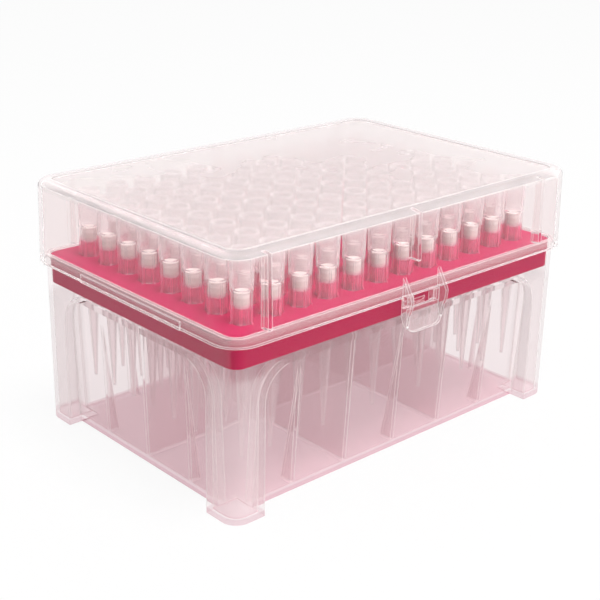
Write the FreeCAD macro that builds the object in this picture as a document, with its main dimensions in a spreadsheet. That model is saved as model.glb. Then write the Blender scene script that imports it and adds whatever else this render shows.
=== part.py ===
import FreeCAD, Part
import math
import os
import Sketcher

# Box of 96 filter pipette tips: a clear base on four feet, a coloured rack plate, a clear hinged
# lid with a snap latch, and 12 columns of 8 tips, each tip with a filter plug inside.
# Millimetres, +Z up. The origin is on the floor under the middle of the box, X runs along the
# long side, and the latch is on the -Y side. The lid is shut.

DIMENSIONS = {
    # grid of tips
    "pitch": 9.0,
    "columns": 12,
    "rows": 8,
    # base: outer block, recessed panels between the four legs, ribs inside
    "base_half_x": 59.6,
    "base_half_y": 40.8,
    "base_corner": 4.5,
    "base_top": 48.0,
    "wall": 1.2,
    "floor_lift": 0.3,
    "leg_inner_x": 50.0,
    "leg_inner_y": 30.4,
    "panel_x": 55.9,
    "panel_y": 36.1,
    "panel_tilt": 3.2,
    "side_tilt": 1.8,
    "arch_top": 38.5,
    "arch_radius": 8.5,
    "rib_thickness": 1.0,
    "divider_x": 18.0,
    "gusset_x": 36.0,
    "gusset_y": 18.0,
    "gusset_depth_y": 5.2,
    "gusset_depth_x": 4.1,
    "rib_lean": 2.0,
    "side_lean": 1.0,
    # catch for the latch, under the rim
    "catch_radius": 5.0,
    "catch_reach": 42.3,
    "catch_low": 42.8,
    "catch_thickness": 1.1,
    # rack plate
    "deck_top": 47.5,
    "deck_thickness": 1.5,
    "deck_gap": 0.2,
    "skirt_low": 39.9,
    "skirt_wall": 1.3,
    "hole_radius": 2.6,
    # lid
    "lid_low": 46.1,
    "lid_top": 68.4,
    "lid_half_x": 61.7,
    "lid_half_y": 42.8,
    "lid_draft": 0.6,
    "lid_corner": 7.4,
    "lid_edge_round": 1.8,
    "lid_roof": 1.3,
    "border_width": 3.4,
    "border_rise": 0.5,
    "fin_x": 49.5,
    "fin_thickness": 1.1,
    "fin_depth": 2.8,
    "fin_low": 48.3,
    "middle_fin_depth": 3.5,
    "middle_fin_low": 54.2,
    "grip_front": -24.0,
    "grip_back": 17.5,
    "grip_proud": 0.3,
    "grip_height": 2.2,
    # latch on the lid
    "latch_half_width": 6.9,
    "latch_arm": 1.0,
    "latch_apex": 52.0,
    "latch_reach": 45.8,
    "latch_brow": 45.5,
    "latch_brow_z": 43.6,
    "latch_waist": 44.6,
    "latch_waist_z": 41.2,
    "latch_arm_low": 38.6,
    "latch_gap": 0.2,
    "latch_plate": 0.9,
    "latch_plate_top": 43.2,
    "latch_foot": 44.9,
    "latch_low": 37.0,
    "latch_round": 3.2,
    "latch_block": 2.2,
    "latch_block_low": 43.1,
    # hinge
    "hinge_x": 32.0,
    "hinge_y": 44.4,
    "hinge_z": 45.4,
    "pin_radius": 1.0,
    "knuckle_bore": 1.1,
    "knuckle_radius": 2.0,
    "knuckle_length": 12.0,
    "knuckle_slot": 1.7,
    "ear_width": 1.6,
    "ear_low": 39.5,
    "ear_top": 45.6,
    "ear_play": 0.3,
    "ear_nose_y": 1.6,
    "ear_nose_z": -0.8,
    "ear_heel_y": 2.0,
    "ear_heel_z": 0.8,
    "ear_crown_y": 0.5,
    "ear_crown_z": 1.4,
    "ear_brow_y": -0.8,
    "ear_brow_z": 1.1,
    "ear_neck_y": -1.3,
    # tip, with heights counted from the top of the rack plate
    "mouth_height": 17.2,
    "mouth_radius": 3.05,
    "mouth_bore": 2.65,
    "step_height": 8.0,
    "step_radius": 2.9,
    "step_bore": 2.45,
    "neck_radius": 2.4,
    "shank_radius": 2.1,
    "filter_bore": 1.93,
    "seat_height": 3.8,
    "seat_bore": 1.7,
    "point_depth": 35.3,
    "point_radius": 0.45,
    "point_bore": 0.22,
    "tip_ribs": 6,
    "tip_rib": 0.45,
    "tip_rib_radius": 2.85,
    "toe_radius": 3.25,
    "toe_height": 0.6,
    "tip_turn": 23.0,
    # filter plug
    "filter_radius": 1.9,
    "filter_height": 3.9,
}

doc = FreeCAD.newDocument("pipette_tip_box")
sheet = doc.addObject("Spreadsheet::Sheet", "d")
for row_number, (alias, value) in enumerate(DIMENSIONS.items(), start=1):
    sheet.set(f"A{row_number}", alias)
    sheet.set(f"B{row_number}", str(value))
    sheet.setAlias(f"B{row_number}", alias)
doc.recompute()

ORIGIN = -1          # Sketcher's number for the sketch origin
START, END, CENTRE = 1, 2, 3


def dim(alias):
    """Present value of a driving dimension."""
    return float(getattr(sheet, alias))


def named(text):
    """Turn 'lid_top - wall' into an expression on the spreadsheet."""
    words = str(text).replace("(", " ( ").replace(")", " ) ").split()
    return " ".join(f"d.{word}" if word in DIMENSIONS else word for word in words)


def new_body(label):
    body = doc.addObject("PartDesign::Body", label)
    body.Label = label
    return body


def origin_plane(body, role):
    return next(item for item in body.Origin.OriginFeatures if item.Role == role)


def new_sketch(body, name, role="XY_Plane", offset="0", tilt=None):
    """Sketch on one of the body's origin planes, moved along its normal by offset."""
    sketch = body.newObject("Sketcher::SketchObject", name)
    sketch.AttachmentSupport = (origin_plane(body, role), [""])
    sketch.MapMode = "FlatFace"
    sketch.setExpression("AttachmentOffset.Base.z", named(offset))
    if tilt is not None:
        sketch.AttachmentOffset = FreeCAD.Placement(
            FreeCAD.Vector(), FreeCAD.Rotation(FreeCAD.Vector(1, 0, 0), 1))
        sketch.setExpression("AttachmentOffset.Rotation.Angle", named(tilt))
    doc.recompute()
    return sketch


def evaluate(sketch, text):
    return float(sketch.evalExpression(named(text)))


def bind_point(sketch, geometry, position, x_text, y_text):
    """Tie one point of a sketch to its two coordinates, each an expression."""
    for kind, text in (("DistanceX", x_text), ("DistanceY", y_text)):
        value = evaluate(sketch, text)
        index = sketch.addConstraint(Sketcher.Constraint(kind, ORIGIN, START, geometry, position, value))
        sketch.setExpression(f"Constraints[{index}]", named(text))


def polygon(sketch, points):
    """Closed outline of straight lines through points given as pairs of expressions."""
    first = sketch.GeometryCount
    corners = [FreeCAD.Vector(evaluate(sketch, x), evaluate(sketch, y), 0) for x, y in points]
    count = len(points)
    for k in range(count):
        sketch.addGeometry(Part.LineSegment(corners[k], corners[(k + 1) % count]), False)
    for k in range(count):
        following = first + (k + 1) % count
        sketch.addConstraint(Sketcher.Constraint("Coincident", first + k, END, following, START))
        bind_point(sketch, first + k, START, *points[k])


def rectangle(sketch, low_x, low_y, high_x, high_y):
    polygon(sketch, [(low_x, low_y), (high_x, low_y), (high_x, high_y), (low_x, high_y)])


def circle(sketch, x, y, radius):
    centre = FreeCAD.Vector(evaluate(sketch, x), evaluate(sketch, y), 0)
    shape = Part.Circle(centre, FreeCAD.Vector(0, 0, 1), evaluate(sketch, radius))
    geometry = sketch.addGeometry(shape, False)
    bind_point(sketch, geometry, CENTRE, x, y)
    index = sketch.addConstraint(Sketcher.Constraint("Radius", geometry, evaluate(sketch, radius)))
    sketch.setExpression(f"Constraints[{index}]", named(radius))


def rounded_rectangle(sketch, half_x, half_y, radius):
    """Rectangle centred on the origin, with four equal round corners."""
    a, b, r = (evaluate(sketch, text) for text in (half_x, half_y, radius))
    first = sketch.GeometryCount
    for quarter, (sx, sy) in enumerate(((1, -1), (1, 1), (-1, 1), (-1, -1))):
        low = math.radians(90 * (quarter - 1))
        round_corner = Part.Circle(FreeCAD.Vector(sx * (a - r), sy * (b - r), 0),
                                   FreeCAD.Vector(0, 0, 1), r)
        sketch.addGeometry(Part.ArcOfCircle(round_corner, low, low + math.pi / 2), False)
    sides = (((a, r - b), (a, b - r)), ((a - r, b), (r - a, b)),
             ((-a, b - r), (-a, r - b)), ((r - a, -b), (a - r, -b)))
    for begin, finish in sides:
        sketch.addGeometry(Part.LineSegment(FreeCAD.Vector(*begin, 0), FreeCAD.Vector(*finish, 0)),
                           False)
    for k in range(4):
        arc, line, next_arc = first + k, first + 4 + k, first + (k + 1) % 4
        sketch.addConstraint(Sketcher.Constraint("Tangent", arc, END, line, START))
        sketch.addConstraint(Sketcher.Constraint("Tangent", line, END, next_arc, START))
        sketch.addConstraint(Sketcher.Constraint("Vertical" if k % 2 == 0 else "Horizontal", line))
    for k in range(1, 4):
        sketch.addConstraint(Sketcher.Constraint("Equal", first, first + k))
    bound = ((Sketcher.Constraint("Radius", first, r), radius),
             (Sketcher.Constraint("DistanceX", ORIGIN, START, first + 4, START, a), half_x),
             (Sketcher.Constraint("DistanceY", ORIGIN, START, first + 5, START, b), half_y),
             (Sketcher.Constraint("DistanceX", first + 6, START, ORIGIN, START, a), half_x),
             (Sketcher.Constraint("DistanceY", first + 7, START, ORIGIN, START, b), half_y))
    for constraint, text in bound:
        index = sketch.addConstraint(constraint)
        sketch.setExpression(f"Constraints[{index}]", named(text))


def pad(body, sketch, length, midplane=False, reverse=False):
    feature = body.newObject("PartDesign::Pad", sketch.Name + "_pad")
    feature.Profile = sketch
    feature.setExpression("Length", named(length))
    feature.Midplane = midplane
    feature.Reversed = reverse
    doc.recompute()
    return feature


def pocket(body, sketch, length=None, midplane=False, reverse=False):
    """Cut a sketch to a given length, or through everything; a cut that takes nothing is an error."""
    before = body.Shape.Volume
    feature = body.newObject("PartDesign::Pocket", sketch.Name + "_pocket")
    feature.Profile = sketch
    if length is None:
        feature.Type = "ThroughAll"
    else:
        feature.setExpression("Length", named(length))
    feature.Midplane = midplane
    feature.Reversed = reverse
    doc.recompute()
    if not 0 < body.Shape.Volume < before:
        raise RuntimeError(f"{feature.Name} cuts nothing")
    return feature


def mirror(body, name, originals, role):
    feature = body.newObject("PartDesign::Mirrored", name)
    feature.Originals = originals
    feature.MirrorPlane = (origin_plane(body, role), [""])
    body.Tip = feature
    doc.recompute()
    return feature


def loft(body, kind, low_sketch, high_sketch):
    feature = body.newObject(kind, low_sketch.Name + "_loft")
    feature.Profile = low_sketch
    feature.Sections = [high_sketch]
    feature.Ruled = True
    doc.recompute()
    return feature


def faces_at(shape, z, normal_z):
    """Names of the flat faces at height z that look up (1) or down (-1)."""
    names = []
    for number, face in enumerate(shape.Faces, start=1):
        u_low, u_high, v_low, v_high = face.ParameterRange
        normal = face.normalAt((u_low + u_high) / 2, (v_low + v_high) / 2)
        if abs(face.CenterOfMass.z - z) < 0.01 and normal.z * normal_z > 0.99:
            names.append(f"Face{number}")
    return names


def fillet(body, name, edge_test, radius):
    """Round the edges of the body for which edge_test is true."""
    previous = body.Tip
    edges = [f"Edge{number}" for number, edge in enumerate(previous.Shape.Edges, start=1)
             if edge_test(edge)]
    feature = body.newObject("PartDesign::Fillet", name)
    feature.Base = (previous, edges)
    feature.setExpression("Radius", named(radius))
    doc.recompute()
    return feature


def make_base():
    """Open box whose sides step in between four corner legs, ribbed inside, with hinge and catch."""
    body = new_body("base")
    outline = new_sketch(body, "base_outline")
    rounded_rectangle(outline, "base_half_x", "base_half_y", "base_corner")
    pad(body, outline, "base_top")

    # Recessed panels with round-topped arches. Each sketch lies on the sloping face of its panel.
    front = new_sketch(body, "front_recess", "XZ_Plane", "panel_y", "panel_tilt")
    rounded_rectangle(front, "leg_inner_x", "arch_top", "arch_radius")
    front_cut = pocket(body, front, reverse=True)
    mirror(body, "back_recess", [front_cut], "XZ_Plane")
    side = new_sketch(body, "side_recess", "YZ_Plane", "panel_x", "side_tilt")
    rounded_rectangle(side, "leg_inner_y", "arch_top", "arch_radius")
    side_cut = pocket(body, side, reverse=True)
    mirror(body, "other_side_recess", [side_cut], "YZ_Plane")

    # The floor between the legs stands clear of the table.
    for name, half_x, half_y in (("floor_lift_long", "leg_inner_x", "base_half_y"),
                                 ("floor_lift_short", "base_half_x", "leg_inner_y")):
        lift = new_sketch(body, name)
        rectangle(lift, f"0 - {half_x}", f"0 - {half_y}", half_x, half_y)
        pocket(body, lift, "floor_lift", reverse=True)

    carved = body.Tip
    shell = body.newObject("PartDesign::Thickness", "base_shell")
    shell.Base = (carved, faces_at(carved.Shape, dim("base_top"), 1))
    shell.Join = "Intersection"
    shell.Reversed = True
    shell.setExpression("Value", named("wall"))
    doc.recompute()

    # Thin ribs that divide the well into six and carry the rack plate.
    rib_top = "deck_top - deck_thickness"
    across = new_sketch(body, "divider_across", "YZ_Plane", "divider_x")
    trapezium(across, "panel_y - wall / 2", "panel_y + rib_lean - wall / 2", rib_top)
    across_pad = pad(body, across, "rib_thickness", midplane=True)
    mirror(body, "divider_across_2", [across_pad], "YZ_Plane")
    along = new_sketch(body, "divider_along", "XZ_Plane")
    trapezium(along, "panel_x - wall / 2", "panel_x + side_lean - wall / 2", rib_top)
    pad(body, along, "rib_thickness", midplane=True)

    # Triangular gussets that stiffen the recessed panels.
    for number, offset in enumerate(("0 - gusset_x", "0", "gusset_x"), start=1):
        gusset = new_sketch(body, f"gusset_long_{number}", "YZ_Plane", offset)
        gusset_outline(gusset, "panel_y", "rib_lean", "gusset_depth_y")
        gusset_pad = pad(body, gusset, "rib_thickness", midplane=True)
        mirror(body, f"gusset_long_back_{number}", [gusset_pad], "XZ_Plane")
    for number, offset in enumerate(("0 - gusset_y", "gusset_y"), start=1):
        gusset = new_sketch(body, f"gusset_short_{number}", "XZ_Plane", offset)
        gusset_outline(gusset, "panel_x", "side_lean", "gusset_depth_x")
        gusset_pad = pad(body, gusset, "rib_thickness", midplane=True)
        mirror(body, f"gusset_short_right_{number}", [gusset_pad], "YZ_Plane")

    # Half-moon ledge under the front rim, which the latch snaps past.
    catch = new_sketch(body, "catch", "XY_Plane", "catch_low")
    half_moon(catch)
    pad(body, catch, "catch_thickness")

    # Hinge ears behind the back wall, with a round bar between each pair.
    ears = []
    for number, offset in enumerate(("0 - ear_width", "knuckle_length + 2 * ear_play"), start=1):
        ear = new_sketch(body, f"hinge_ear_{number}", "YZ_Plane",
                         f"hinge_x - knuckle_length / 2 - ear_play + {offset}")
        polygon(ear, [
            ("base_half_y - wall / 2", "ear_top"),
            ("base_half_y - wall / 2", "ear_low"),
            ("hinge_y + ear_nose_y", "hinge_z + ear_nose_z"),
            ("hinge_y + ear_heel_y", "hinge_z + ear_heel_z"),
            ("hinge_y + ear_crown_y", "hinge_z + ear_crown_z"),
            ("hinge_y + ear_brow_y", "hinge_z + ear_brow_z"),
            ("hinge_y + ear_neck_y", "ear_top")])
        ears.append(pad(body, ear, "ear_width"))
    pin = new_sketch(body, "hinge_bar", "YZ_Plane",
                     "hinge_x - knuckle_length / 2 - ear_play - ear_width / 2")
    circle(pin, "hinge_y", "hinge_z", "pin_radius")
    ears.append(pad(body, pin, "knuckle_length + 2 * ear_play + ear_width"))
    mirror(body, "hinge_left", ears, "YZ_Plane")
    return body


def trapezium(sketch, low_half, high_half, top):
    """Upright rib that follows the lean of the panels, from inside the floor to its top edge."""
    polygon(sketch, [(f"0 - ({low_half})", "floor_lift + wall / 2"),
                     (low_half, "floor_lift + wall / 2"),
                     (high_half, "arch_top"), (high_half, top),
                     (f"0 - ({high_half})", top), (f"0 - ({high_half})", "arch_top")])


def gusset_outline(sketch, panel, lean, depth):
    """Thin triangle, from the panel under the arch to its full depth on the floor."""
    polygon(sketch, [(f"{panel} - wall / 2", "floor_lift + wall / 2"),
                     (f"{panel} + {lean} - wall / 2", "arch_top - wall / 2"),
                     (f"{panel} - {depth}", "floor_lift + wall / 2")])


def half_moon(sketch):
    """Part of a disc that stands out from the front wall, closed by a chord inside the wall."""
    chord, middle = "0 - (base_half_y - wall / 2)", "0 - (catch_reach - catch_radius)"
    y, centre_y, radius = (evaluate(sketch, text) for text in (chord, middle, "catch_radius"))
    angle = math.asin((y - centre_y) / radius)
    disc = Part.Circle(FreeCAD.Vector(0, centre_y, 0), FreeCAD.Vector(0, 0, 1), radius)
    arc = sketch.addGeometry(Part.ArcOfCircle(disc, math.pi - angle, 2 * math.pi + angle), False)
    half = radius * math.cos(angle)
    line = sketch.addGeometry(
        Part.LineSegment(FreeCAD.Vector(half, y, 0), FreeCAD.Vector(-half, y, 0)), False)
    sketch.addConstraint(Sketcher.Constraint("Coincident", arc, END, line, START))
    sketch.addConstraint(Sketcher.Constraint("Coincident", line, END, arc, START))
    sketch.addConstraint(Sketcher.Constraint("Horizontal", line))
    bind_point(sketch, arc, CENTRE, "0", middle)
    for constraint, text in ((Sketcher.Constraint("Radius", arc, radius), "catch_radius"),
                             (Sketcher.Constraint("DistanceY", ORIGIN, START, line, START, y), chord)):
        index = sketch.addConstraint(constraint)
        sketch.setExpression(f"Constraints[{index}]", named(text))


def make_rack_plate():
    """Flat deck with 96 holes and a skirt that sits inside the base."""
    body = new_body("rack_plate")
    half = [f"base_half_{axis} - wall - deck_gap" for axis in "xy"]
    corner = "base_corner - wall - deck_gap"
    deck = new_sketch(body, "deck", "XY_Plane", "deck_top - deck_thickness")
    rounded_rectangle(deck, *half, corner)
    pad(body, deck, "deck_thickness")
    skirt = new_sketch(body, "skirt", "XY_Plane", "skirt_low")
    rounded_rectangle(skirt, *half, corner)
    rounded_rectangle(skirt, f"{half[0]} - skirt_wall", f"{half[1]} - skirt_wall",
                      f"{corner} - skirt_wall")
    pad(body, skirt, "deck_top - deck_thickness / 2 - skirt_low")
    hole = new_sketch(body, "hole", "XY_Plane", "deck_top")
    circle(hole, "0 - (columns - 1) * pitch / 2", "0 - (rows - 1) * pitch / 2", "hole_radius")
    hole_cut = pocket(body, hole)
    grid = body.newObject("PartDesign::MultiTransform", "holes")
    steps = []
    for name, axis, count in (("along", "H_Axis", "columns"), ("across", "V_Axis", "rows")):
        step = doc.addObject("PartDesign::LinearPattern", f"holes_{name}")
        body.addObject(step)
        step.Direction = (hole, [axis])
        step.setExpression("Length", named(f"({count} - 1) * pitch"))
        step.setExpression("Occurrences", named(count))
        steps.append(step)
    grid.Originals = [hole_cut]
    grid.Transformations = steps
    body.Tip = grid
    doc.recompute()
    return body


def make_lid():
    """Hinged cover, with a raised border, six inner fins, grips, latch and two hinge knuckles."""
    body = new_body("lid")
    outline = new_sketch(body, "lid_outline", "XY_Plane", "lid_low")
    rounded_rectangle(outline, "lid_half_x", "lid_half_y", "lid_corner")
    block = pad(body, outline, "lid_top - lid_low")
    bottom = faces_at(block.Shape, dim("lid_low"), -1)
    sides = [f"Face{number}" for number, face in enumerate(block.Shape.Faces, start=1)
             if face.BoundBox.ZLength > 1]
    draft = body.newObject("PartDesign::Draft", "lid_sides")
    draft.Base = (block, sides)
    draft.NeutralPlane = (block, bottom)
    draft.setExpression("Angle", "atan(d.lid_draft / (d.lid_top - d.lid_low))")
    doc.recompute()
    top = dim("lid_top")
    fillet(body, "top_round", lambda edge: edge.BoundBox.ZMin > top - 0.01, "lid_edge_round")
    cave_low = new_sketch(body, "cave_foot", "XY_Plane", "lid_low")
    rounded_rectangle(cave_low, "lid_half_x - wall", "lid_half_y - wall", "lid_corner - wall")
    cave_high = new_sketch(body, "cave_head", "XY_Plane", "lid_top - border_rise - lid_roof")
    rounded_rectangle(cave_high, "lid_half_x - wall - lid_draft", "lid_half_y - wall - lid_draft",
                      "lid_corner - wall - lid_draft")
    loft(body, "PartDesign::SubtractiveLoft", cave_low, cave_high)
    panel = new_sketch(body, "roof_panel", "XY_Plane", "lid_top")
    rounded_rectangle(panel, "lid_half_x - lid_draft - border_width",
                      "lid_half_y - lid_draft - border_width", "lid_corner - border_width")
    pocket(body, panel, "border_rise")

    fins = []
    for number, (x, low_end, depth) in enumerate((
            ("0 - fin_x", "fin_low", "fin_depth"), ("0", "middle_fin_low", "middle_fin_depth"),
            ("fin_x", "fin_low", "fin_depth")), start=1):
        fin = new_sketch(body, f"fin_{number}", "XY_Plane", low_end)
        rectangle(fin, f"{x} - fin_thickness / 2", "0 - (lid_half_y - wall * 3 / 4)",
                  f"{x} + fin_thickness / 2", f"0 - (lid_half_y - wall - {depth})")
        fins.append(pad(body, fin, f"lid_top - border_rise - lid_roof / 2 - {low_end}"))
    mirror(body, "fins_back", fins, "XZ_Plane")

    grip = new_sketch(body, "grip", "XY_Plane", "lid_low")
    rectangle(grip, "lid_half_x - wall / 2", "grip_front", "lid_half_x + grip_proud", "grip_back")
    grip_pad = pad(body, grip, "grip_height")
    mirror(body, "grip_left", [grip_pad], "YZ_Plane")

    make_latch(body)
    make_knuckles(body)
    return body


def make_latch(body):
    """Two side arms, a thumb plate between them, and two small blocks under the lid rim."""
    skin = "0 - (lid_half_y - wall / 3)"
    root = "0 - (lid_half_y - wall * 3 / 4)"
    inner = "0 - (catch_reach + latch_gap)"
    arm = new_sketch(body, "latch_arm", "YZ_Plane", "latch_half_width - latch_arm")
    polygon(arm, [(skin, "latch_apex"), ("0 - latch_reach", "lid_low"),
                  ("0 - latch_brow", "latch_brow_z"), ("0 - latch_waist", "latch_waist_z"),
                  ("0 - latch_foot + latch_plate / 2", "latch_arm_low"),
                  (inner, "latch_waist_z"), (inner, "lid_low - latch_gap"),
                  (root, "lid_low + latch_gap")])
    arm_pad = pad(body, arm, "latch_arm")
    mirror(body, "latch_arm_left", [arm_pad], "YZ_Plane")
    plate = new_sketch(body, "latch_plate", "YZ_Plane")
    polygon(plate, [(f"{inner} - latch_plate", "latch_plate_top"),
                    (f"{inner} - latch_plate", "latch_waist_z"),
                    ("0 - latch_foot", "latch_low"), ("0 - latch_foot + latch_plate", "latch_low"),
                    (inner, "latch_waist_z"), (inner, "latch_plate_top")])
    pad(body, plate, "2 * latch_half_width", midplane=True)
    low = dim("latch_low")
    fillet(body, "latch_corners",
           lambda edge: edge.BoundBox.ZMax < low + 0.01 and edge.BoundBox.XLength < 0.01,
           "latch_round")
    block = new_sketch(body, "latch_block", "YZ_Plane",
                       "latch_half_width - latch_arm - latch_block")
    rectangle(block, "0 - (lid_half_y + wall * 2 / 3)", "latch_block_low",
              root, "lid_low + latch_gap")
    block_pad = pad(body, block, "latch_block")
    mirror(body, "latch_block_left", [block_pad], "YZ_Plane")


def make_knuckles(body):
    """Two hooks on the back wall that clip down over the bars of the base."""
    start = "hinge_x - knuckle_length / 2"
    web = new_sketch(body, "knuckle_web", "YZ_Plane", start)
    rectangle(web, "lid_half_y - wall / 2", "lid_low", "hinge_y", "hinge_z + knuckle_radius")
    web_pad = pad(body, web, "knuckle_length")
    disc = new_sketch(body, "knuckle_disc", "YZ_Plane", start)
    circle(disc, "hinge_y", "hinge_z", "knuckle_radius")
    disc_pad = pad(body, disc, "knuckle_length")
    bore = new_sketch(body, "knuckle_bore_cut", "YZ_Plane", start)
    circle(bore, "hinge_y", "hinge_z", "knuckle_bore")
    bore_cut = pocket(body, bore, "knuckle_length", reverse=True)
    slot = new_sketch(body, "knuckle_slot_cut", "YZ_Plane", start)
    rectangle(slot, "hinge_y - knuckle_slot / 2", "hinge_z - 2 * knuckle_radius",
              "hinge_y + knuckle_slot / 2", "hinge_z")
    slot_cut = pocket(body, slot, "knuckle_length", reverse=True)
    mirror(body, "knuckle_left", [web_pad, disc_pad, bore_cut, slot_cut], "YZ_Plane")


def make_tip():
    """One tip, with its ribs standing on z = 0 and its point below."""
    body = new_body("tip_pattern")
    profile = new_sketch(body, "tip_profile", "XZ_Plane")
    polygon(profile, [
        ("mouth_bore", "mouth_height"), ("mouth_radius", "mouth_height"),
        ("step_radius", "step_height"), ("neck_radius", "step_height - toe_height"),
        ("neck_radius", "0 - toe_height"), ("shank_radius", "0 - 2 * toe_height"),
        ("point_radius", "0 - point_depth"), ("point_bore", "0 - point_depth"),
        ("seat_bore", "seat_height"), ("filter_bore", "seat_height"),
        ("filter_bore", "step_height"), ("step_bore", "step_height + toe_height")])
    turned = body.newObject("PartDesign::Revolution", "tip_wall")
    turned.Profile = profile
    turned.ReferenceAxis = (profile, ["V_Axis"])
    doc.recompute()
    rib = new_sketch(body, "tip_rib_outline", "XZ_Plane")
    polygon(rib, [
        ("neck_radius - tip_rib / 2", "0"), ("toe_radius", "0"),
        ("tip_rib_radius", "toe_height"), ("tip_rib_radius", "step_height"),
        ("neck_radius - tip_rib / 2", "step_height")])
    rib_pad = pad(body, rib, "tip_rib", midplane=True)
    ring = body.newObject("PartDesign::PolarPattern", "tip_rib_ring")
    ring.Originals = [rib_pad]
    ring.Axis = (profile, ["V_Axis"])
    ring.setExpression("Occurrences", named("tip_ribs"))
    body.Tip = ring
    doc.recompute()
    return body


def make_filter():
    """Filter plug of one tip, standing on the seat inside it."""
    plug = doc.addObject("Part::Cylinder", "filter_pattern")
    plug.setExpression("Radius", named("filter_radius"))
    plug.setExpression("Height", named("filter_height"))
    plug.setExpression("Placement.Base.z", named("seat_height"))
    doc.recompute()
    return plug


def make_column(label, pattern, column):
    """One column of separate copies of a pattern, each turned by a different amount."""
    rows, pitch = int(dim("rows")), dim("pitch")
    copies = []
    for row in range(rows):
        copy = pattern.Shape.copy()
        turn = dim("tip_turn") * (column + 1) * (row + 2)
        y = (row - (rows - 1) / 2) * pitch
        copy.Placement = FreeCAD.Placement(
            FreeCAD.Vector(0, y, 0), FreeCAD.Rotation(FreeCAD.Vector(0, 0, 1), turn)) * copy.Placement
        copies.append(copy)
    feature = doc.addObject("Part::Feature", label)
    feature.Label = label
    feature.Shape = Part.makeCompound(copies)
    x = (column - (int(dim("columns")) - 1) / 2) * pitch
    feature.Placement = FreeCAD.Placement(FreeCAD.Vector(x, 0, dim("deck_top")), FreeCAD.Rotation())
    return feature


nodes = [make_base(), make_rack_plate(), make_lid()]
tip, plug = make_tip(), make_filter()
for column in range(int(dim("columns"))):
    nodes.append(make_column(f"tips_column_{column + 1:02d}", tip, column))
    nodes.append(make_column(f"filters_column_{column + 1:02d}", plug, column))
doc.recompute()

for item in doc.Objects:
    if "Invalid" in item.State or "Error" in item.State:
        raise RuntimeError(f"{item.Name} failed: {item.State}")
os.makedirs("parts", exist_ok=True)
for node in nodes:
    if node.Shape.isNull() or not node.Shape.isValid():
        raise RuntimeError(f"{node.Label} has no valid shape")
    node.Shape.exportStep(f"parts/{node.Label}.step")
    print(f"{node.Label}: {len(node.Shape.Solids)} solids, {node.Shape.Volume:.1f} mm3")
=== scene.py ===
import math
from typing import NamedTuple

import bpy
from mathutils import Euler, Matrix, Vector


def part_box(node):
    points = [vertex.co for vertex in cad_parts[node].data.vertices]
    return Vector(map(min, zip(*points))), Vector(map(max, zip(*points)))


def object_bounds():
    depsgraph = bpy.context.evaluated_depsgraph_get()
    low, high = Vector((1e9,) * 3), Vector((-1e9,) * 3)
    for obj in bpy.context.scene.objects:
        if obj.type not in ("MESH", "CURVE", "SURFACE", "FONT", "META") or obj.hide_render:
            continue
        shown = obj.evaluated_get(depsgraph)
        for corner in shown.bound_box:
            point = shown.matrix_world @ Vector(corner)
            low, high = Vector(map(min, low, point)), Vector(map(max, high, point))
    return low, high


# The box of pipette tips. Every piece shows as it was built, and this script adds its plastics,
# the camera, the floor and the light. Metres, +Z up, with the latch on the -Y side.

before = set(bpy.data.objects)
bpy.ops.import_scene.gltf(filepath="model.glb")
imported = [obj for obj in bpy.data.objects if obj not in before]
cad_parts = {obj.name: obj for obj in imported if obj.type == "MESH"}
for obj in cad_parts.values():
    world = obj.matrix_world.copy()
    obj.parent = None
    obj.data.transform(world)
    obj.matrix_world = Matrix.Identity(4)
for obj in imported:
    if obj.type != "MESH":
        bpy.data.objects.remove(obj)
cad_low, cad_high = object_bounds()
scene = bpy.context.scene

MM = 0.001


# ---------- camera ----------
CAMERA_PLACE = (-0.21705, -0.23288, 0.15381)
CAMERA_DIP = math.radians(21.042)            # how far it looks down
CAMERA_HEADING = math.radians(-42.699)       # from +Y, anticlockwise seen from above
CAMERA_ROLL = math.radians(1.111)
LENS_LENGTH = 72.9                           # millimetres, as is the width of the sensor
SENSOR_WIDTH = 36.0


def add_camera():
    data = bpy.data.cameras.new("camera")
    data.lens = LENS_LENGTH
    data.sensor_width = SENSOR_WIDTH
    camera = bpy.data.objects.new("camera", data)
    aim = Euler((math.radians(90.0) - CAMERA_DIP, 0.0, CAMERA_HEADING), "XYZ").to_matrix().to_4x4()
    roll = Matrix.Rotation(CAMERA_ROLL, 4, "Z")
    camera.matrix_world = Matrix.Translation(CAMERA_PLACE) @ aim @ roll
    scene.collection.objects.link(camera)
    scene.camera = camera


# ---------- shader nodes ----------
def opaque(colour):
    return (*colour, 1.0)


NOISE_LOW, NOISE_HIGH = 0.3, 0.7         # nearly all of a noise texture lies between these
EDGE_DOT, FLAT_DOT = 0.75, 0.995         # rounded normal times true normal, at an edge and on a face


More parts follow.
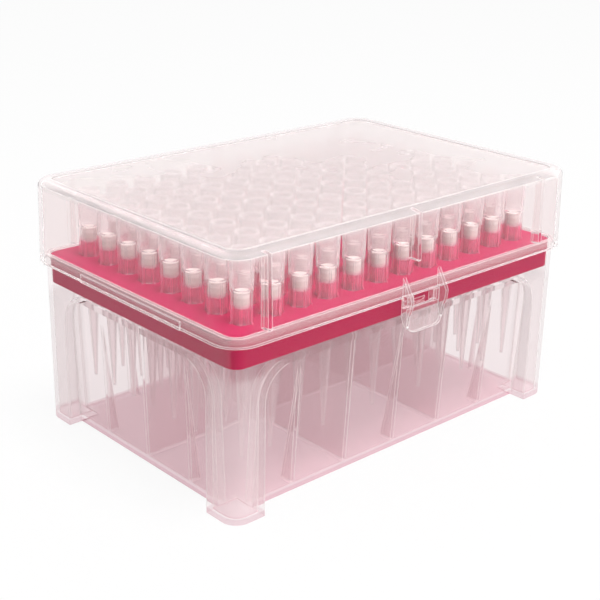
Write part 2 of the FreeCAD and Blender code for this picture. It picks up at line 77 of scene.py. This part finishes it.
class Tree:
    """The node tree of a material or world, with short ways to add nodes to it.

    Values are plain numbers, colours, or the outputs of other nodes. A mask runs from 0 to 1,
    and changes over a stretch that reaches soft to each side of its level.
    """

    def __init__(self, owner):
        owner.use_nodes = True
        owner.node_tree.nodes.clear()
        self.nodes = owner.node_tree.nodes
        self.links = owner.node_tree.links

    def add(self, kind, inputs=None, **settings):
        node = self.nodes.new(kind)
        for setting, value in settings.items():
            setattr(node, setting, value)
        for socket, value in (inputs or {}).items():
            if isinstance(value, bpy.types.NodeSocket):
                self.links.new(value, node.inputs[socket])
            else:
                node.inputs[socket].default_value = value
        return node

    def math(self, operation, first, second):
        """The result of a Math node, kept between 0 and 1."""
        node = self.add("ShaderNodeMath", {0: first, 1: second}, operation=operation, use_clamp=True)
        return node.outputs["Value"]

    def times(self, first, second):
        return self.math("MULTIPLY", first, second)

    def less(self, first, second):
        return self.math("SUBTRACT", first, second)

    def highest(self, first, second):
        return self.math("MAXIMUM", first, second)

    def total(self, first, *others):
        for other in others:
            first = self.math("ADD", first, other)
        return first

    def weighted(self, *terms):
        """The sum of masks, each times its own weight."""
        return self.total(*(self.times(mask, weight) for mask, weight in terms))

    def ramp(self, value, start, end, low=0.0, high=1.0):
        """low up to start, high from end on, and an even slope in between."""
        node = self.add("ShaderNodeMapRange", {"Value": value, "From Min": start, "From Max": end,
                                               "To Min": low, "To Max": high})
        return node.outputs["Result"]

    def above(self, value, level, soft):
        return self.ramp(value, level - soft, level + soft)

    def below(self, value, level, soft):
        return self.ramp(value, level - soft, level + soft, 1.0, 0.0)

    def between(self, value, low, high, soft):
        return self.times(self.above(value, low, soft), self.below(value, high, soft))

    def within(self, value, half, soft):
        """1 where value is less than half away from the middle of the box, either way."""
        return self.between(value, -half, half, soft)

    def outside(self, value, half, soft):
        """1 where value is more than half away from the middle of the box, either way."""
        return self.less(1.0, self.within(value, half, soft))

    def noise(self, position, scale, detail):
        node = self.add("ShaderNodeTexNoise", {"Vector": position, "Scale": scale, "Detail": detail})
        return node.outputs["Fac"]

    def cloud(self, position, scale, low, high):
        """Soft patches that run from low to high."""
        patches = self.noise(position, scale, detail=3.0)
        return self.ramp(patches, NOISE_LOW, NOISE_HIGH, low, high)

    def bump(self, height, strength, distance):
        node = self.add("ShaderNodeBump", {"Height": height, "Strength": strength, "Distance": distance})
        return node.outputs["Normal"]

    def position(self):
        return self.add("ShaderNodeTexCoord").outputs["Object"]

    def axes(self, position):
        split = self.add("ShaderNodeSeparateXYZ", {"Vector": position})
        return split.outputs["X"], split.outputs["Y"], split.outputs["Z"]

    def mix_colour(self, share, first, second):
        node = self.add("ShaderNodeMix", {"Factor": share, "A": opaque(first), "B": opaque(second)},
                        data_type="RGBA")
        return node.outputs["Result"]

    def mix_shader(self, share, first, second):
        return self.add("ShaderNodeMixShader", {"Fac": share, 1: first, 2: second}).outputs["Shader"]

    def edge_mask(self, width):
        """1 along the sharp edges of a piece, 0 on its flat faces."""
        rounded = self.add("ShaderNodeBevel", {"Radius": width}, samples=3)
        flat = self.add("ShaderNodeNewGeometry")
        dot = self.add("ShaderNodeVectorMath", {0: rounded.outputs["Normal"],
                                                1: flat.outputs["True Normal"]}, operation="DOT_PRODUCT")
        return self.ramp(dot.outputs["Value"], EDGE_DOT, FLAT_DOT, 1.0, 0.0)

    def seen_directly(self):
        """1 for rays of sight, straight, reflected or through clear plastic, and 0 for other rays."""
        path = self.add("ShaderNodeLightPath").outputs
        sight = self.highest(path["Is Camera Ray"], path["Is Glossy Ray"])
        return self.highest(sight, path["Is Transmission Ray"])


def new_material(name):
    material = bpy.data.materials.new(name)
    return material, Tree(material)


# ---------- clear plastics ----------
class Marks(NamedTuple):
    """Outputs that run from 0 to 1 over a clear moulding, and say what differs from place to place."""
    second: object              # how much of the second tint and milk is used
    milk: object                # milk added to the plain haze
    lines: object = None        # where the painted edge highlights go, everywhere if None
    frosted: object = None      # where the surface is frosted, nowhere if None


class Clear(NamedTuple):
    """How a clear moulding looks. Of each pair of colours, the second is for the marked places."""
    tints: tuple
    milks: tuple
    haze: float                 # milk everywhere
    rim: float                  # milk added where the surface is seen at a grazing angle
    edge: float                 # milk added along sharp edges, as painted highlight lines
    ior: float = 1.07
    edge_width: float = 0.4 * MM


GLASS_ROUGHNESS = 0.01
MILK_ROUGHNESS = 0.45
FROST_COLOUR = (0.93, 0.89, 0.885)
FROST_IOR = 1.25
FROST_ROUGHNESS = 0.10
SHADOW_TINT = (0.985, 0.98, 0.98)
HAZE_SPREAD = 0.15
GRAZING_BLEND = 0.12


def clear_plastic(name, look, find_marks):
    """Clear polypropylene: tinted glass mixed with milk. Its shadow is nearly clear."""
    material, tree = new_material(name)
    position = tree.position()
    marks = find_marks(tree, position)

    waves = tree.noise(position, scale=110.0, detail=1.0)
    clear = tree.add("ShaderNodeBsdfPrincipled", {
        "Base Color": tree.mix_colour(marks.second, *look.tints),
        "Transmission Weight": 1.0,
        "IOR": look.ior,
        "Roughness": GLASS_ROUGHNESS,
        "Normal": tree.bump(waves, strength=0.08, distance=0.3 * MM),
    }).outputs["BSDF"]
    if marks.frosted is not None:
        frost = tree.add("ShaderNodeBsdfPrincipled", {
            "Base Color": opaque(FROST_COLOUR),
            "Transmission Weight": 1.0,
            "IOR": FROST_IOR,
            "Roughness": FROST_ROUGHNESS,
        }).outputs["BSDF"]
        clear = tree.mix_shader(marks.frosted, clear, frost)

    cloudy = tree.add("ShaderNodeBsdfPrincipled", {
        "Base Color": tree.mix_colour(marks.second, *look.milks),
        "Roughness": MILK_ROUGHNESS,
    }).outputs["BSDF"]
    haze = tree.cloud(position, scale=45.0, low=look.haze * (1.0 - HAZE_SPREAD),
                      high=look.haze * (1.0 + HAZE_SPREAD))
    grazing = tree.add("ShaderNodeLayerWeight", {"Blend": GRAZING_BLEND}).outputs["Facing"]
    # The milk along sharp edges is painted highlight lines.
    lines = tree.times(tree.edge_mask(look.edge_width), look.edge)
    if marks.lines is not None:
        lines = tree.times(lines, marks.lines)
    milk = tree.total(haze, tree.times(grazing, look.rim), lines, marks.milk)
    body = tree.mix_shader(milk, clear, cloudy)

    shadow_ray = tree.add("ShaderNodeLightPath").outputs["Is Shadow Ray"]
    passing = tree.add("ShaderNodeBsdfTransparent", {"Color": opaque(SHADOW_TINT)}).outputs["BSDF"]
    whole = tree.mix_shader(shadow_ray, body, passing)
    tree.add("ShaderNodeOutputMaterial", {"Surface": whole})
    return material


# Most marks are placed from the rack plate: its half sizes, its deck and the foot of its skirt.
rack_low, rack_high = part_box("rack_plate")
deck = rack_high.z
skirt = rack_low.z


def lid_marks(tree, position):
    """The lid's roof is milkier than its walls, and the sunk panel in it is frosted."""
    x, y, z = tree.axes(position)
    low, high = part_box("lid")
    roof = tree.above(z, high.z - 2.2 * MM, soft=0.2 * MM)
    inner_x = tree.within(x, rack_high.x - 1.5 * MM, soft=0.1 * MM)
    inner_y = tree.within(y, rack_high.y - 0.9 * MM, soft=0.1 * MM)
    panel = tree.times(tree.times(inner_x, inner_y), roof)
    border = tree.less(roof, panel)
    latch = tree.below(y, low.y + 3.0 * MM, soft=0.1 * MM)
    milk = tree.weighted((panel, 0.19), (border, 0.16), (latch, 0.05))
    return Marks(second=panel, milk=milk, frosted=panel)


def base_marks(tree, position):
    """The floor and the inner ribs are painted pinker and darker, as painted pink light from the rack
    and painted shade. Ribs, legs and the rim around the deck are milkier.
    """
    x, y, z = tree.axes(position)
    inner_x = tree.within(x, rack_high.x - 4.2 * MM, soft=0.3 * MM)
    inner_y = tree.within(y, rack_high.y - 4.9 * MM, soft=0.3 * MM)
    leg_x = tree.outside(x, rack_high.x - 8.7 * MM, soft=0.3 * MM)
    leg_y = tree.outside(y, rack_high.y - 9.4 * MM, soft=0.3 * MM)
    leg = tree.times(leg_x, leg_y)
    ribs = tree.less(tree.times(inner_x, inner_y), leg)

    floor = tree.below(z, 1.6 * MM, soft=0.2 * MM)
    lower = tree.below(z, skirt - 2.9 * MM, soft=1.0 * MM)
    ledge = tree.between(z, skirt - 1.7 * MM, skirt + 0.3 * MM, soft=0.1 * MM)
    rim = tree.above(z, deck - 1.5 * MM, soft=0.2 * MM)
    rim_top = tree.above(z, deck - 0.05 * MM, soft=0.15 * MM)
    end_wall = tree.outside(x, rack_high.x + 0.6 * MM, soft=0.2 * MM)
    upper_end = tree.times(tree.less(1.0, lower), end_wall)

    # Painted pink light from the rack and painted shade: the ribs darker pink low down, the floor darker
    # pink away from the legs.
    painted_pink_light_ribs = tree.times(ribs, tree.ramp(z, 2.0 * MM, 34.0 * MM, low=0.42, high=0.18))
    painted_pink_light_floor = tree.times(tree.ramp(leg, 0.0, 1.0, low=1.0, high=0.7), floor)
    milk = tree.weighted((lower, 0.04), (ribs, 0.12), (tree.times(leg, lower), 0.10),
                         (painted_pink_light_floor, 0.04), (rim, 0.14), (rim_top, 0.10), (upper_end, 0.05))
    # The ledge under the skirt gets no painted edge highlight.
    return Marks(second=tree.highest(painted_pink_light_ribs, painted_pink_light_floor), milk=milk,
                 lines=tree.less(1.0, ledge))


def tip_marks(tree, position):
    """Each tip has the deck's pink painted on just above it, as a painted reflection, and a painted
    highlight on its mouth rim. It is milkier in its wide upper half.
    """
    _, _, z = tree.axes(position)
    shaft = tree.below(z, deck - 2.5 * MM, soft=0.5 * MM)
    # Painted pink reflection of the deck.
    painted_deck_pink = tree.between(z, deck - 1.0 * MM, deck + 4.5 * MM, soft=0.8 * MM)
    step = tree.between(z, deck + 7.8 * MM, deck + 8.6 * MM, soft=0.2 * MM)
    upper = tree.above(z, deck + 9.0 * MM, soft=1.0 * MM)
    # Painted highlight on the mouth rim.
    painted_mouth_highlight = tree.above(z, deck + 16.3 * MM, soft=0.3 * MM)
    milk = tree.weighted((shaft, 0.04), (painted_deck_pink, 0.30), (step, 0.10), (upper, 0.15), (painted_mouth_highlight, 0.20))
    return Marks(second=painted_deck_pink, milk=milk)


# The faint pink of these clear colours is painted pink light from the crimson rack.
LID = Clear(tints=((0.965, 0.915, 0.915), (0.91, 0.82, 0.83)),
            milks=((0.98, 0.95, 0.95), (0.81, 0.75, 0.745)),
            haze=0.025, rim=0.25, edge=0.9)
# The base's second tint and milk are painted pink light from the rack and painted shade.
BASE = Clear(tints=((0.968, 0.925, 0.93), (0.80, 0.59, 0.64)),
             milks=((0.95, 0.88, 0.88), (0.93, 0.59, 0.67)),
             haze=0.004, rim=0.12, edge=0.9, ior=1.045)
# The tips' second tint and milk are painted pink reflection of the deck.
TIPS = Clear(tints=((0.975, 0.935, 0.94), (0.98, 0.84, 0.88)),
             milks=((0.97, 0.90, 0.91), (0.92, 0.22, 0.38)),
             haze=0.015, rim=0.8, edge=0.5, edge_width=0.2 * MM)


# ---------- opaque plastics ----------
CRIMSON = (0.41, 0.001, 0.055)
# The deck's lighter crimson is painted light on the top face.
PAINTED_LIT_DECK_CRIMSON = (0.51, 0.001, 0.090)
FOAM_GREY = (0.76, 0.69, 0.66)
# The foam's lighter top is painted light.
FOAM_PAINTED_LIGHT = (0.90, 0.88, 0.85)


def rack_plastic():
    """Crimson moulding with a satin skin, painted lighter and pinker on its deck as painted light on the
    top face, with patches of tone at random.
    """
    material, tree = new_material("rack_plastic")
    position = tree.position()
    _, _, z = tree.axes(position)
    # Painted light: the top face of the deck lighter than the skirt.
    painted_deck_light = tree.ramp(z, deck - 1.5 * MM, deck - 0.1 * MM, low=0.0, high=0.8)
    painted_deck_light_and_tone = tree.total(painted_deck_light, tree.cloud(position, scale=60.0, low=0.0, high=0.2))
    grain = tree.noise(position, scale=2600.0, detail=2.0)
    skin = tree.add("ShaderNodeBsdfPrincipled", {
        "Base Color": tree.mix_colour(painted_deck_light_and_tone, CRIMSON, PAINTED_LIT_DECK_CRIMSON),
        "Roughness": tree.cloud(position, scale=60.0, low=0.42, high=0.52),
        "IOR": 1.4,
        "Specular IOR Level": 0.35,
        "Subsurface Weight": 0.15,
        "Subsurface Radius": (2.0 * MM, 0.6 * MM, 0.8 * MM),
        "Subsurface Scale": 1.0,
        "Normal": tree.bump(grain, strength=0.2, distance=0.05 * MM),
    })
    tree.add("ShaderNodeOutputMaterial", {"Surface": skin.outputs["BSDF"]})
    return material


def filter_foam():
    """White porous plug of sintered beads, painted brightest at its top end as painted light."""
    material, tree = new_material("filter_foam")
    position = tree.position()
    _, _, z = tree.axes(position)
    _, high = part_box("filters_column_01")
    # Painted light: the top end is lighter, broken up by the beads.
    painted_lit_top = tree.above(z, high.z - 1.4 * MM, soft=0.2 * MM)
    beads = tree.add("ShaderNodeTexVoronoi", {"Vector": position, "Scale": 2800.0}).outputs["Distance"]
    white = tree.less(painted_lit_top, tree.ramp(beads, 0.0, 1.0, low=0.0, high=0.5))
    foam = tree.add("ShaderNodeBsdfPrincipled", {
        "Base Color": tree.mix_colour(white, FOAM_GREY, FOAM_PAINTED_LIGHT),
        "Roughness": 0.9,
        "Normal": tree.bump(beads, strength=0.6, distance=0.1 * MM),
    })
    tree.add("ShaderNodeOutputMaterial", {"Surface": foam.outputs["BSDF"]})
    return material


def dress():
    """Gives every piece its plastic."""
    plastics = {
        "base": clear_plastic("base_plastic", BASE, base_marks),
        "lid": clear_plastic("lid_plastic", LID, lid_marks),
        "rack": rack_plastic(),
        "tips": clear_plastic("tip_plastic", TIPS, tip_marks),
        "filters": filter_foam(),
    }
    for name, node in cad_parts.items():
        kind = name.split("_")[0]
        node.data.materials.clear()
        node.data.materials.append(plastics[kind])


# ---------- floor, backdrop and light ----------
FLOOR_HALF = 3.0
FLOOR_COLOUR = (0.93, 0.93, 0.93)
FLOOR_WHITE_SHARE = 0.9      # the rest of what the eye sees of the floor keeps the shadow
SOFT_WORLD = 0.6
WHITE_WORLD = 1.0
WHITE = (1.0, 1.0, 1.0)


def pale_floor():
    material, tree = new_material("pale_floor")
    plain = tree.add("ShaderNodeBsdfDiffuse", {"Color": opaque(FLOOR_COLOUR)})
    white = tree.add("ShaderNodeEmission")
    share = tree.times(tree.seen_directly(), FLOOR_WHITE_SHARE)
    whole = tree.mix_shader(share, plain.outputs["BSDF"], white.outputs["Emission"])
    tree.add("ShaderNodeOutputMaterial", {"Surface": whole})
    return material


def add_floor():
    corners = [(x * FLOOR_HALF, y * FLOOR_HALF, 0.0) for x, y in ((-1, -1), (1, -1), (1, 1), (-1, 1))]
    mesh = bpy.data.meshes.new("floor")
    mesh.from_pydata(corners, [], [(0, 1, 2, 3)])
    floor = bpy.data.objects.new("floor", mesh)
    floor.location.z = cad_low.z
    scene.collection.objects.link(floor)
    floor.data.materials.append(pale_floor())


def add_world():
    """Soft white light on the object, and plain white where the world itself is seen."""
    world = bpy.data.worlds.new("world")
    tree = Tree(world)
    soft = tree.add("ShaderNodeBackground", {"Color": opaque(WHITE), "Strength": SOFT_WORLD})
    white = tree.add("ShaderNodeBackground", {"Color": opaque(WHITE), "Strength": WHITE_WORLD})
    whole = tree.mix_shader(tree.seen_directly(), soft.outputs["Background"],
                            white.outputs["Background"])
    tree.add("ShaderNodeOutputWorld", {"Surface": whole})
    scene.world = world


def add_lamp(name, place, aim, power, size=0.5):
    """A round soft lamp at place that shines towards aim."""
    data = bpy.data.lights.new(name, "AREA")
    data.shape = "DISK"
    data.size = size
    data.energy = power
    lamp = bpy.data.objects.new(name, data)
    lamp.location = place
    lamp.rotation_euler = (Vector(aim) - Vector(place)).to_track_quat("-Z", "Y").to_euler()
    scene.collection.objects.link(lamp)


add_camera()
dress()
add_floor()
add_world()
add_lamp("key", place=(0.10, -0.30, 0.95), aim=(0.0, 0.0, 0.03), power=5.6)
add_lamp("fill", place=(-0.15, -0.85, 0.14), aim=(0.0, 0.0, 0.025), power=0.6)

# Light passes through many layers of clear plastic before it reaches the tips.
BOUNCES = 64
scene.cycles.max_bounces = BOUNCES
scene.cycles.transmission_bounces = BOUNCES
scene.cycles.transparent_max_bounces = BOUNCES
scene.view_settings.view_transform = "Standard"
